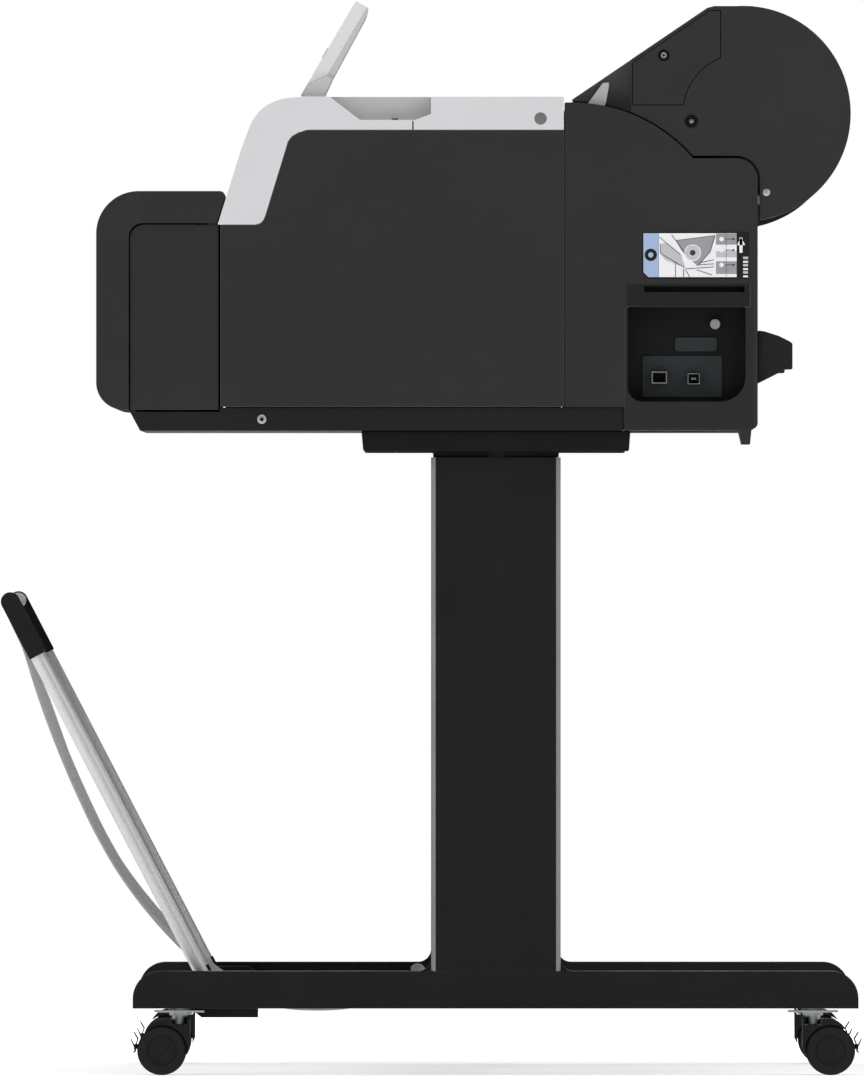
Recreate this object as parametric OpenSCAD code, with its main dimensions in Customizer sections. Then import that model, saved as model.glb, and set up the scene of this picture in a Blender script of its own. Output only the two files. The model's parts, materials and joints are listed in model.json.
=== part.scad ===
// Floor-standing large format plotter with roll bay, tilting control panel,
// wheeled stand and folding cloth basket.
// Frame: mm, +Z up, +X the machine's right, -Y the user's side, floor at Z = 0,
// origin on the floor under the middle of the bounding box.

/* [Body] */
// overall width over the side covers
body_w = 982; // [780:2:1300]
// half width of the paper path between the side housings
path_half = 310; // [230:1:460]
// underside of the printer body
pan_z = 638.4; // [560:0.1:720]
// top face of the light upper cover
deck_z = 969; // [900:1:1040]
// wall thickness of the moulded covers
wall = 3; // [2:0.5:5]
// depth of the recess that holds the data sockets
recess_d = 34; // [20:1:45]

/* [Ink covers] */
// foremost face of the ink covers
ink_front_y = -332; // [-350:1:-310]
// thickness of the L-shaped ink covers, front and top
ink_t = 32; // [20:1:40]
// outer corner radius of the ink covers
ink_r = 42; // [30:1:60]
// width of one ink tank
tank_w = 50; // [30:1:52]

/* [Top cover and control panel] */
// height of the top cover's hinge line
top_hinge_z = 946.5; // [940:0.5:955]
// distance of the top cover's hinge line from the middle
top_hinge_y = 107.5; // [90:0.5:120]
// width of the control panel
panel_w = 132; // [100:1:150]
// length of the control panel, foot to top edge
panel_l = 105; // [80:1:115]
// lean of the control panel from horizontal
panel_deg = 59.8; // [50:0.1:75]

/* [Roll bay] */
// outer radius of the drum-shaped roll cover
drum_r = 106.7; // [95:0.1:115]
// radius of the paper roll
roll_r = 49; // [30:1:52]
// radius of the roll holder's shaft
shaft_r = 10; // [8:0.5:12]
// radial clearance of running shafts
run = 0.05; // [0.02:0.01:0.1]

/* [Stand] */
// depth of each column, front to back
column_d = 128.5; // [90:0.5:160]
// width of each column and foot, across the machine
post_w = 40; // [30:1:60]
// distance of each column's middle from the machine's middle
post_x = 445; // [380:1:460]
// height of the top of the feet
foot_top_z = 103; // [90:1:115]
// height of the underside of the feet
foot_low_z = 66; // [60:1:75]

/* [Casters] */
// radius of the caster wheels
wheel_r = 24.3; // [20:0.1:26]
// thickness of each of the two wheels of a caster
wheel_t = 15; // [10:0.5:17]
// distance from swivel axis to wheel axle
trail = 17.5; // [14:0.5:20]

/* [Basket] */
// lean of the basket arms from vertical
arm_deg = 27.4; // [15:0.1:40]
// length of the arms, pivot to front rod
arm_l = 432.5; // [350:0.5:480]
// diameter of the arm tubes
arm_d = 16; // [12:0.5:22]
// half width of the basket cloth
cloth_half = 388; // [300:1:392]

/* [View] */
// sub-part to draw

/* [Hidden] */
$fn = 64;
xo = body_w / 2;
xs = xo - 3.5;                 // inner face of the side skins
xi = path_half + 1.5;          // inner end of the side housings
drum_y = 308.4;
drum_z = 952.3;
pin_y = 331.6;
pin_z = 874.3;
shaft_y = 282;
shaft_z = 968;
tilt_y = -114.8;
tilt_z = 981;
ink_hy = -209.5;               // hinge line of the ink covers
ink_hz = 870.6;
cheek_x0 = xo - 35;            // inner face of the roll cheeks
cheek_x1 = xo - 3;             // outer face of the roll cheeks
feed_y = -25;
feed_z = 850;
feed_r = 12;
pinch_r = 6;
arm_py = -218.8;
arm_pz = 85;
arm_x = post_x - post_w / 2 - 16;
front_sw = -249.8;
rear_sw = 377.9;
ped_u = -17.5;                 // brake pedal pin, measured from the wheel axle
ped_v = 4;
dark = [0.2, 0.2, 0.2];
light = [0.8, 0.8, 0.81];
steel = [0.6, 0.6, 0.62];

// ---------- helpers ----------

// extrude a side profile, drawn as (Y, Z), from x0 to x1
module ex(x0, x1) {
  translate([x0, 0, 0]) rotate([90, 0, 90]) linear_extrude(x1 - x0) children();
}

// cylinder along X with its axis at (y, z)
module cx(y, z, r, x0, x1) {
  translate([x0, y, z]) rotate([0, 90, 0]) cylinder(r = r, h = x1 - x0);
}

module both() {
  children();
  mirror([1, 0, 0]) children();
}

// rectangle with four corner radii: front-low, rear-low, rear-top, front-top
module rr(y0, z0, y1, z1, r) {
  difference() {
    translate([y0, z0]) square([y1 - y0, z1 - z0]);
    corner(y0, z0, 1, 1, r[0]);
    corner(y1, z0, -1, 1, r[1]);
    corner(y1, z1, -1, -1, r[2]);
    corner(y0, z1, 1, -1, r[3]);
  }
}

module corner(y, z, sy, sz, r) {
  if (r > 0) difference() {
    translate([y - (sy < 0 ? r : 1), z - (sz < 0 ? r : 1)]) square([r + 1, r + 1]);
    translate([y + sy * r, z + sz * r]) circle(r = r);
  }
}

// ---------- side profiles ----------

// side and bottom outline of the light upper cover, front leg included
module arch_outer() {
  polygon([[-211.7, 842.4], [-188.8, 916], [-181.5, 935.5], [-177.3, 945.5], [-170.5, 954.5],
           [-163.6, 960.3], [-154, 965], [-145, 967.6], [-128, deck_z], [131, deck_z],
           [131, 936.3], [-123, 936.3], [-132.5, 933.3], [-138.6, 929.5], [-142, 925.2],
           [-164.6, 851.4], [-166.6, 846.8], [-169.5, 843.8], [-174, 842.4]]);
}

module arch_inner() {
  polygon([[-209, 841], [-185.9, 915], [-178.6, 934.5], [-174.6, 944], [-168.4, 952.2],
           [-162, 957.6], [-152.8, 962.2], [-144.4, 964.6], [-128, 966], [128, 966], [128, 930],
           [-100, 930], [-140, 841]]);
}

module side_shape() {
  polygon([[-209, 662], [131.5, 662], [131.5, 935.8],
           [-122.9, 935.8], [-132.2, 932.8], [-138.2, 929.1], [-141.5, 925], [-164.1, 851.2],
           [-166.1, 846.5], [-169.2, 843.4], [-173.8, 841.9], [-209, 841.9]]);
}

module rear_shape(prong = false) {
  difference() {
    union() {
      intersection() {
        translate([138.6, 805]) circle(r = 158.4, $fn = 128);
        translate([132.2, 640]) square([128, 330]);
      }
      rr(132.2, 640, 323, 908, [0, 6, 21, 0]);
      polygon([[192, 638.4], [315.8, 638.4], [317, 640], [321, 642.5], [323, 652], [323, 700],
               [192, 700]]);
      if (prong) polygon([[303.8, 641], [307.6, 624.8], [315.4, 624.8], [317, 641]]);
    }
    translate([100, 600]) square([91, 61.6]);
  }
}

module rear_inner() {
  difference() {
    union() {
      intersection() {
        translate([138.6, 805]) circle(r = 158.4 - wall, $fn = 128);
        translate([135.2, 640]) square([123, 330]);
      }
      rr(135.2, 643, 320, 905, [0, 4, 18, 0]);
    }
    translate([100, 600]) square([94, 64.6]);
  }
}

module drum_shape() {
  difference() {
    union() {
      drum_top();
      translate([160, 900]) square([170, 60]);
      translate([drum_y, drum_z]) circle(r = drum_r, $fn = 128);
    }
    translate([138.6, 805]) circle(r = 159.9, $fn = 128);
    rr(100, 780, 325.2, 910.6, [0, 0, 23.6, 0]);
    over_slope();
  }
}
// straight front slope and flat crown of the roll bay
module drum_top()
  polygon([[138.7, 966], [273, 1057], [280, drum_z + drum_r - 0.2], [318, drum_z + drum_r - 0.2],
           [330, 960], [150, 955]]);
// everything above that slope
module over_slope()
  polygon([[100, 940], [138.7, 966], [273, 1057], [279, drum_z + drum_r], [279, 1100],
           [100, 1100]]);

// ---------- printer body ----------

module base_pan() color(dark) difference() {
  ex(-xo + 3, xo - 3) polygon([[-298.6, 657], [-288.6, pan_z], [188, pan_z], [190.5, pan_z + 3],
                               [190.5, 661.2], [-209.5, 661.2], [-209.5, 657]]);
  ex(-xo + 6, xo - 6) polygon([[-292.5, 658], [-286, pan_z + 3], [187.5, pan_z + 3],
                               [187.5, 670], [-230, 670], [-230, 658]]);
  both() cx(-168, 649.6, 2.2, xo - 8, xo);
}

module side_panel() color(dark) union() {
  ex(xs, xo) side_shape();
  ex(xs - 9, xs) {
    rr(-196, 664, 122, 667, [0, 0, 0, 0]);
    rr(127.5, 670, 130.5, 925, [0, 0, 0, 0]);
  }
}
module side_panel_r() side_panel();
module side_panel_l() mirror([1, 0, 0]) side_panel();

module rear_shell(prong = false) difference() {
  ex(xi, xo) rear_shape(prong);
  ex(xi - 1, xs) rear_inner();
}

module rear_cover_r() color(dark) union() {
  difference() {
    rear_body_r();
    // slot for the release lever
    translate([xo - 24, 140, 935]) cube([16, 48, 40]);
  }
  cx(162, 948, 3 - run, xo - 25, xs + 1);
}

module rear_body_r() difference() {
  union() {
    rear_shell(true);
    ex(xo - recess_d - 3, xs) rr(191, 664, 314, 763, [18, 28, 3, 3]);
    ex(xo - 20, xs) rr(196, 763, 318, 792, [0, 0, 0, 0]);
  }
  ex(xo - recess_d, xo + 1) rr(194, 667, 311, 761, [15, 25, 2, 2]);
  ex(xo - 16, xo + 1) rr(210.5, 775.5, 310, 781.5, [0, 0, 0, 0]);
  ex(xo - 0.8, xo + 1) rr(208.2, 788.5, 314.4, 835.4, [0, 0, 0, 0]);
  // power inlet window in the rear face
  translate([xo - 95, 316, 668]) cube([49.6, 10, 31.6]);
}

module rear_cover_l() color(dark) mirror([1, 0, 0]) rear_shell();

module front_housing() color(dark) union() {
  housing_box();
  // hinge ears and pins of the ink cover
  for (x = [xi + 4, xo - 7]) ex(x, x + 3) {
    polygon([[-222, 842], [-213.5, 842], [ink_hy + 3, ink_hz], [ink_hy - 3, ink_hz]]);
    translate([ink_hy, ink_hz]) circle(r = 3);
  }
  cx(ink_hy, ink_hz, 2, xi + 1.4, xi + 5);
  cx(ink_hy, ink_hz, 2, xo - 5, xo - 1.4);
}

module housing_box() difference() {
  ex(xi, xs) rr(-298, 659, -211, 842.2, [3, 0, 0, 14]);
  // bay for the ink tanks, open to the front and top
  translate([xi + 4, -320, 668]) cube([xs - xi - 8, 92, 168]);
  translate([xi + 4, -284, 800]) cube([xs - xi - 8, 56, 60]);
}
module front_housing_r() front_housing();
module front_housing_l() mirror([1, 0, 0]) front_housing();

// front face and output guide between the ink housings
module front_panel() color(dark) union() {
  ex(-path_half, path_half) difference() {
    polygon([[-299, 659], [-299, 806], [-295, 820], [-287, 830], [-276, 836], [-158, 860],
             [-158, 856.5], [-275, 832.6], [-284.6, 827.6], [-292, 818.6], [-295.8, 805],
             [-295.8, 662], [-240, 662], [-240, 659]]);
  }
  for (i = [-5:5]) ex(i * 56 - 2, i * 56 + 2)
    polygon([[-276, 836], [-158, 860], [-158, 862], [-277, 837.8], [-288, 832], [-287, 830]]);
}

module upper_trim() color(light) difference() {
  ex(xi, xo) arch_outer();
  ex(xi - 1, xs) arch_inner();
  cx(108, 947.4, 6.2, xo - 1, xo + 1);
}

module upper_trim_r() color(light) union() {
  trim_r_body();
  // ears and pins that carry the control panel
  for (x = [xo - 153, xo - 15.4]) ex(x, x + 3.9)
    polygon([[-128.3, 968], [-123.8, 979], [-102.3, 990], [-98.3, 986], [-106.7, 968]]);
  cx(tilt_y, tilt_z, 2.5, xo - 153, xo - 144);
  cx(tilt_y, tilt_z, 2.5, xo - 20, xo - 12);
}

module trim_r_body() difference() {
  union() {
    upper_trim();
    // walls of the scoop behind the control panel
    ex(xo - 24, xo - 1) intersection() {
      polygon([[-110, 967], [-73, 942.5], [-16, 942.5], [4, 949], [4, 967]]);
      translate([-120, 937]) square([130, 30]);
    }
    ex(xo - 153, xo - 17) rr(-132, 960, -94, 967, [0, 0, 0, 0]);
  }
  ex(xo - 21, xo + 1) polygon([[-100.5, deck_z + 1], [-100.5, deck_z], [-71, 946],
                               [-16.3, 946], [-0.5, 952], [-0.5, deck_z + 1]]);
  // well for the panel's foot
  cx(tilt_y, tilt_z, 13.6, xo - 149, xo - 15.5);
  // small slot in the scoop
  translate([xo - 12, -37, 936]) round_slot(9, 2.6, 14);
}
module upper_trim_l() mirror([1, 0, 0]) upper_trim();

// vertical slot with round ends, long along Y
module round_slot(l, r, h) {
  translate([-r, -l / 2, 0]) cube([2 * r, l, h]);
  for (s = [-1, 1]) translate([0, s * l / 2, 0]) cylinder(r = r, h = h);
}

module rear_panel() color(dark) union() {
  translate([-path_half, 317, 640]) cube([2 * path_half, 3, 248]);
  ex(-path_half, path_half) {
    rr(230, 904.5, 302, 907.5, [0, 0, 0, 0]);
    rr(192, 640, 317.5, 643, [0, 0, 0, 0]);
    polygon([[301.5, 904.5], [317, 887.5], [320, 888.6], [302.8, 907.5], [301.5, 907.5]]);
    polygon([[144, 956], [180, 948], [210, 935], [231, 904.5], [231, 907.5], [212, 938],
             [181, 951], [144, 959]]);
  }
}

module roll_cheek() color(dark) difference() {
  union() {
    ex(cheek_x0, cheek_x0 + 8) drum_shape();
    ex(cheek_x0, cheek_x1) intersection() {
      drum_shape();
      translate([198, 800]) square([300, 300]);
    }
    // saddle that carries the roll holder's shaft
    ex(cheek_x0 - 18, cheek_x0 + 1) rr(shaft_y - 18, 913, shaft_y + 18, shaft_z, [2, 2, 3, 3]);
  }
  cx(shaft_y, shaft_z, shaft_r + run, cheek_x0 - 19, cheek_x0 - 2);
  translate([cheek_x0 - 19, shaft_y - shaft_r - run, shaft_z]) cube([17, 2 * (shaft_r + run), 20]);
  // seat of the inset panel
  ex(cheek_x1 - 2.5, cheek_x1 + 1) inset_shape(0.5);
  cx(257.4, 944.8, 6.75, cheek_x1 - 4, cheek_x1 + 1);
  cx(257.4, 944.8, 9, cheek_x1 - 1, cheek_x1 + 1);
  cx(pin_y, pin_z, 4.5, cheek_x0 - 1, cheek_x1 + 1);
}
module roll_cheek_r() roll_cheek();
module roll_cheek_l() mirror([1, 0, 0]) roll_cheek();

module inset_shape(g) difference() {
  polygon([[198.8 - g, 960.8 - g], [286.3 + g, 960.8 - g], [286.3 + g, 1054.5 + g],
           [276 - g, 1054.5 + g], [198.8 - g, 1002.2 + g]]);
  translate([drum_y, drum_z]) circle(r = 59.4 - g, $fn = 96);
}

module cheek_panels() color(dark) both() difference() {
  ex(cheek_x1 - 2.4, cheek_x1 + 0.2) inset_shape(0);
  cx(230, 1010, 5.3, cheek_x1 - 1.4, cheek_x1 + 1);
}

// ---------- mechanism ----------

module side_frames() color(steel) both() difference() {
  union() {
    ex(path_half + 2, path_half + 5) polygon([[-204, 662], [120, 662], [120, 878], [-32, 878],
                                              [-32, 862], [-150, 851], [-204, 838]]);
    ex(xs - 16, xs - 13) polygon([[-200, 662], [118, 662], [118, 930], [-120, 930], [-150, 912],
                                  [-172, 840], [-200, 838]]);
    for (y = [-180, 100]) translate([path_half + 4, y, 664]) cube([xs - 16 - path_half - 3, 12, 3]);
  }
  cx(feed_y, feed_z, 5 + run, path_half, path_half + 8);
  cx(feed_y, feed_z + feed_r + pinch_r + 0.1, 3 + run, path_half, path_half + 8);
}

module platen() color([0.12, 0.12, 0.13]) difference() {
  translate([-path_half + 3, -156, 852]) cube([2 * path_half - 6, 116, 10]);
  for (i = [-12:12]) translate([i * 24, -98, 858]) cylinder(r = 4, h = 5);
}

module carriage_rail() color(steel) difference() {
  ex(-xs + 16.2, xs - 16.2) rr(-30, 884, 8, 920, [2, 2, 2, 2]);
  ex(-xs - 1, xs + 1) rr(-22, 887, 12, 917, [2, 0, 0, 2]);
}

module drive_belt() color([0.1, 0.1, 0.1]) {
  difference() {
    belt_loop(9, 6);
    translate([0, 0, -1]) belt_loop(7.4, 8);
  }
  for (s = [-1, 1]) translate([s * 445, -14, 920.2]) cylinder(r = 7.2, h = 10);
}
module belt_loop(r, h) translate([0, -14, 923]) {
  translate([-445, -r, 0]) cube([890, 2 * r, h]);
  for (s = [-1, 1]) translate([s * 445, 0, 0]) cylinder(r = r, h = h);
}

module ink_tanks() color([0.15, 0.15, 0.17]) both() for (i = [0:2])
  translate([xi + 7 + i * (tank_w + 2.6), -282, 670]) union() {
    cube([tank_w, 52, 126]);
    translate([8, -6, 92]) cube([tank_w - 16, 7, 18]);
  }

module io_board() color([0.16, 0.18, 0.19]) union() {
  difference() {
    ex(xo - recess_d, xo - recess_d + 2) rr(209, 671.5, 288, 712.5, [1, 1, 1, 1]);
    ex(xo - recess_d - 1, xo) rr(218.4, 685.4, 232.9, 696.2, [0, 0, 0, 0]);
    ex(xo - recess_d - 1, xo) rr(254.1, 684.7, 265.3, 694.6, [0, 0, 0, 0]);
  }
  ex(xo - recess_d, xo - recess_d + 3) rr(241, 717, 283, 731, [4, 4, 4, 4]);
  cx(281, 744, 5, xo - recess_d, xo - recess_d + 10);
}

module socket(y0, z0, y1, z1, t) difference() {
  ex(xo - recess_d + 2.02, xo - recess_d + 15) rr(y0, z0, y1, z1, [0.6, 0.6, 0.6, 0.6]);
  ex(xo - recess_d + 3.4, xo - recess_d + 16) rr(y0 + t, z0 + t, y1 - t, z1 - t, [0, 0, 0, 0]);
}

// network socket (left) and square USB socket (right)
module data_sockets() color(steel) {
  union() {
    socket(218, 685, 233.3, 697, 1.2);
    ex(xo - recess_d + 3, xo - recess_d + 5) rr(219, 686, 232.3, 688, [0, 0, 0, 0]);
  }
  union() {
    socket(253.7, 684.3, 265.7, 695.2, 0.9);
    ex(xo - recess_d + 3, xo - recess_d + 6) rr(257.2, 688.6, 262.2, 690.9, [0, 0, 0, 0]);
  }
}

// three-pin power inlet in the rear face
module ac_inlet() color([0.07, 0.07, 0.07]) difference() {
  translate([xo - 94.8, 296, 668.2]) cube([49.2, 26.6, 31.2]);
  difference() {
    translate([xo - 82.2, 300, 674]) cube([24, 24, 19]);
    for (p = [[-8, 681], [0, 687], [8, 681]]) translate([xo - 70.2 + p[0] - 1, 299.5, p[1] - 2])
      cube([2, 8, 4]);
  }
}

// plate with plain pictogram fields on the right rear cover
module label_plate() color([0.85, 0.87, 0.9]) difference() {
  ex(xo - 0.7, xo - 0.05) polygon([[214, 789], [314, 789], [314, 835], [208.6, 835],
                                   [208.6, 794.5]]);
  ex(xo - 0.25, xo + 1) rr(226, 792, 296, 832, [1, 1, 1, 1]);
}

module screws() color(steel) both() {
  cx(-168, 649.6, 4.5, xo - 2.95, xo - 1.2);
  cx(-168, 649.6, 2.1, xo - 7, xo - 2.9);
  cx(230, 1010, 4.6, cheek_x1 - 1.35, cheek_x1 - 0.3);
  cx(257.4, 944.8, 5.6, cheek_x1 - 3.95, cheek_x1 - 2);
  cx(pin_y, pin_z, 4.48, cheek_x0 - 13, cheek_x1 - 0.4);
  cx(108, 947.4, 6, xo + 0.02 - 0.35, xo);
}

module rear_grips() color(dark) both() difference() {
  ex(xo - 60, xo - 6) polygon([[323.1, 737.7], [330, 736.7], [344, 732.2], [354, 727.2],
                               [357.5, 725], [357.5, 699], [351, 699], [345, 696], [323.1, 685]]);
  ex(xo - 56, xo - 10) polygon([[320, 701], [341, 701], [350.8, 704], [350.8, 680],
                                [320, 680]]);
}

// ---------- stand ----------

module column() color(dark) union() {
  difference() {
    translate([post_x - post_w / 2, -0.5, foot_top_z]) cube([post_w, column_d, 612 - foot_top_z]);
    for (x = [-1, 1], y = [0, 1]) translate([post_x + x * post_w / 2, y * column_d - 0.5, 0])
      rotate([0, 0, x > 0 ? (y > 0 ? 0 : -90) : (y > 0 ? 90 : 180)])
        edge_cut(4.5, foot_top_z - 1, 613);
    translate([post_x - post_w / 2 + 3, 2.5, foot_top_z + 4])
      cube([post_w - 6, column_d - 6, 502 - foot_low_z + 66]);
  }
  ex(post_x - post_w / 2 + 4.5, post_x + post_w / 2 - 4.5) {
    fillet(-0.5, foot_top_z, -1, 13);
    fillet(column_d - 0.5, foot_top_z, 1, 13);
  }
}
// removes the outside of a vertical edge whose corner is at the origin
module edge_cut(r, z0, z1) translate([0, 0, z0]) linear_extrude(z1 - z0) difference() {
  translate([-r, -r]) square([r + 1, r + 1]);
  translate([-r, -r]) circle(r = r);
}
module fillet(y, z, s, r) difference() {
  translate([s > 0 ? y : y - r, z]) square([r, r]);
  translate([y + s * r, z + r]) circle(r = r);
}
module column_r() column();
module column_l() mirror([1, 0, 0]) column();

module foot() color(dark) {
  difference() {
    ex(post_x - post_w / 2, post_x + post_w / 2)
      rr(-296, foot_low_z, 423, foot_top_z, [1, 1, 27, 27]);
    ex(post_x - post_w / 2 + 3, post_x + post_w / 2 - 3)
      rr(-292, foot_low_z + 4, 419, foot_top_z - 3, [0, 0, 24, 24]);
    for (y = [front_sw, rear_sw]) translate([post_x, y, foot_low_z - 1]) cylinder(r = 5.5, h = 20);
  }
  // bracket that carries the basket arm
  difference() {
    ex(post_x - post_w / 2 - 31, post_x - post_w / 2 - 0.04)
      polygon([[-240, 66], [-228, 56.7], [-172, 56.7], [-172, 90], [-185, 99], [-232, 99],
               [-240, 90]]);
    ex(arm_x - 9, arm_x + 9) polygon([[-260, 71.5], [-180, 71.5], [-180, 110], [-260, 110]]);
    cx(arm_py, arm_pz, 4 + run, post_x - post_w / 2 - 32, post_x - post_w / 2 + 0.2);
  }
}
module foot_r() foot();
module foot_l() mirror([1, 0, 0]) foot();

module top_brackets() color(dark) both() union() {
  ex(post_x - 42, post_x + 38) polygon([[-69.5, pan_z - 0.2], [197, pan_z - 0.2],
                                        [195.6, 618.2], [-67.6, 618.2]]);
  translate([post_x - 16, 1.6, 612.02]) cube([33, 124.6, 6.7]);
  translate([post_x - 20, 56, 612.02]) cube([40, 17.5, 6.7]);
}

module cross_beam() color(dark) difference() {
  union() {
    ex(-post_x + post_w / 2 + 0.02, post_x - post_w / 2 - 0.02)
      rr(36, 130, 92, 190, [4, 4, 4, 4]);
    ex(-post_x + post_w / 2 + 0.02, post_x - post_w / 2 - 0.02) rr(-20, 88, -8, 100, [3, 3, 3, 3]);
  }
  ex(-post_x + post_w / 2 + 3, post_x - post_w / 2 - 3) rr(39, 133, 89, 187, [3, 3, 3, 3]);
}

module basket_floor() color([0.6, 0.6, 0.6]) ex(-cloth_half, cloth_half) polygon([
  [-196, 86], [-186, 78.5], [-170, 70.5], [-150, 65.5], [-116, 63.5], [-84, 65.5], [-55, 71.5],
  [-33, 81], [-22, 89], [-26, 92.5], [-36, 84.6], [-57, 75.7], [-85, 69.8], [-116, 67.8],
  [-149, 69.8], [-168, 74.6], [-183, 82], [-193, 89.3]]);

module basket_arms() color(steel) union() {
  both() {
    translate([arm_x, arm_py, arm_pz]) rotate([arm_deg, 0, 0]) {
      translate([0, 0, 16]) cylinder(r = arm_d / 2, h = arm_l - 62);
      translate([-5, -9, -9]) cube([10, 18, 32]);
      // end cap that holds the front rod
      translate([-9.3, -9.35, arm_l - 60]) cube([18.6, 18.7, 60]);
      translate([-9.3, 0, arm_l]) rotate([0, 90, 0]) cylinder(r = 9.35, h = 18.6);
      // pivot pin
      rotate([0, 90, 0]) translate([0, 0, -14.8]) cylinder(r = 4, h = 30.6);
    }
  }
  translate([0, arm_py, arm_pz]) rotate([arm_deg, 0, 0])
    translate([-arm_x + 9.35, 0, arm_l]) rotate([0, 90, 0]) cylinder(r = 6, h = 2 * arm_x - 18.7);
}

module basket_sling() color([0.6, 0.6, 0.6]) ex(-cloth_half, cloth_half) polygon([
  [-424.5, 463], [-420, 448], [-406, 421], [-396, 391.5], [-382, 352], [-366.5, 312], [-349.5, 272.7],
  [-330, 233], [-306, 193.5], [-276, 154], [-250, 125], [-246, 128.4], [-272, 157.6],
  [-301.8, 196.7], [-325.6, 235.6], [-345, 275], [-361.8, 314], [-377.3, 354], [-391, 393.5],
  [-401, 424], [-410, 449], [-411, 457.5], [-417, 456]]);

// ---------- casters ----------

module at_caster(sx, y) translate([sx * post_x, y, 0]) children();

module stem() {
  translate([0, 0, 0.4]) cylinder(r = 7.5, h = 8.9);
  translate([0, 0, -20]) cylinder(r = 4, h = 21);
  translate([0, 0, 9.2]) cylinder(r = 10, h = 2.9);
  translate([-18, -24.7, 12]) cube([36, 49.4, 2]);
  translate([0, 0, 13]) cylinder(r = 11, h = 2.9);
  translate([0, 0, 14]) cylinder(r = 5, h = 14);
}
module caster_stems() color(steel)
  for (sx = [-1, 1], y = [front_sw, rear_sw]) translate([sx * post_x, y, 50]) stem();

// frame with its origin on the wheel axle, local Y running from the brake
// pedal towards the swivel axis; s is the side the wheel trails to
module at_axle(s) translate([0, s * trail, wheel_r]) mirror([0, s > 0 ? 1 : 0, 0]) children();

// swivelling fork and hood
module fork(s) color(dark) at_axle(s) difference() {
  union() {
    ex(-wheel_t - 10, wheel_t + 10) difference() {
      polygon([[-15.4, 21.2], [-12, 25.4], [-8, 28.6], [-3, 30.9], [3, 31.4], [9.2, 31],
               [9.2, 25.4], [25.8, 25.4], [25.8, 30.6], [28, 30.6], [28, 2], [24.4, -5.6],
               [0, 0]]);
      circle(r = 25.3, $fn = 96);
    }
    // rear wall beside the nut
    ex(-12, 12) rr(25.8, 2, 28, 33.6, [0, 0, 0, 0]);
    ex(-6, 6) {
      circle(r = 10);
      polygon([[-8, -3], [-10, 10], [-12, 19], [-8, 25.6], [9, 25.4], [25, 24], [26.6, 12],
               [26.6, 2], [8, -6]]);
      // ears that carry the brake pedal's pin
      translate([ped_u, ped_v]) circle(r = 4.6);
      polygon([[ped_u - 1, ped_v + 4.4], [-8, 12], [-6, -5], [ped_u - 1, ped_v - 4.4]]);
    }
    translate([0, trail, 1.7]) cylinder(r = 7.6, h = 23.6);
  }
  translate([0, trail, 4.7]) cylinder(r = 4 + run, h = 40);
  cx(0, 0, 4 + run, -9, 9);
  // slot for the pedal's tongue, crossed by its pin
  difference() {
    ex(-3.3, 3.3) {
      translate([ped_u, ped_v]) circle(r = 7);
      translate([-40, ped_v - 12]) square([40 + ped_u + 3, 24]);
    }
    cx(ped_u, ped_v, 2, -4, 4);
  }
}
module fork_fr() at_caster(1, front_sw) fork(-1);
module fork_fl() at_caster(-1, front_sw) fork(-1);
module fork_rr() at_caster(1, rear_sw) fork(1);
module fork_rl() at_caster(-1, rear_sw) fork(1);

module wheels(s) color([0.12, 0.12, 0.12]) at_axle(s) rotate([0, 90, 0]) {
  for (m = [0, 1]) mirror([0, 0, m]) difference() {
    union() {
      translate([0, 0, 9]) cylinder(r = wheel_r - 1.2, h = wheel_t, $fn = 96);
      translate([0, 0, 10.2]) cylinder(r = wheel_r, h = wheel_t - 2.4, $fn = 96);
    }
    translate([0, 0, wheel_t + 7]) cylinder(r = 15, h = 3);
  }
  translate([0, 0, -wheel_t - 8]) cylinder(r = 4, h = 2 * wheel_t + 16);
}
module wheels_fr() at_caster(1, front_sw) wheels(-1);
module wheels_fl() at_caster(-1, front_sw) wheels(-1);
module wheels_rr() at_caster(1, rear_sw) wheels(1);
module wheels_rl() at_caster(-1, rear_sw) wheels(1);

// brake pedal: a tongue between the wheels and three thin fins outside them
module brake(s) color(dark) at_axle(s) difference() {
  union() {
    ex(-3, 3) {
      translate([ped_u, ped_v]) circle(r = 4.2);
      rr(-27, ped_v - 2.6, ped_u, ped_v + 2.4, [0, 0, 0, 0]);
    }
    ex(-14, 14) {
      polygon([[-25.6, 0], [-25.6, 5.6], [-27.4, 5], [-27.6, 1.6], [-26.8, -0.6]]);
      polygon([[-25.7, 4], [-22.9, 11.8], [-27.2, 18.6], [-28, 18.1], [-24.3, 11.6], [-26.8, 4.6]]);
      polygon([[-26.4, 4.2], [-30.4, 11.6], [-31, 11.2], [-27.4, 3]]);
      polygon([[-25.7, 1], [-25.5, -0.8], [-28.2, -3], [-28.6, -2.4], [-26.8, 0.4]]);
    }
  }
  cx(ped_u, ped_v, 2 + run, -9, 9);
}
module brake_fr() at_caster(1, front_sw) brake(-1);
module brake_fl() at_caster(-1, front_sw) brake(-1);
module brake_rr() at_caster(1, rear_sw) brake(1);
module brake_rl() at_caster(-1, rear_sw) brake(1);

// ---------- moving covers and parts ----------

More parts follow.
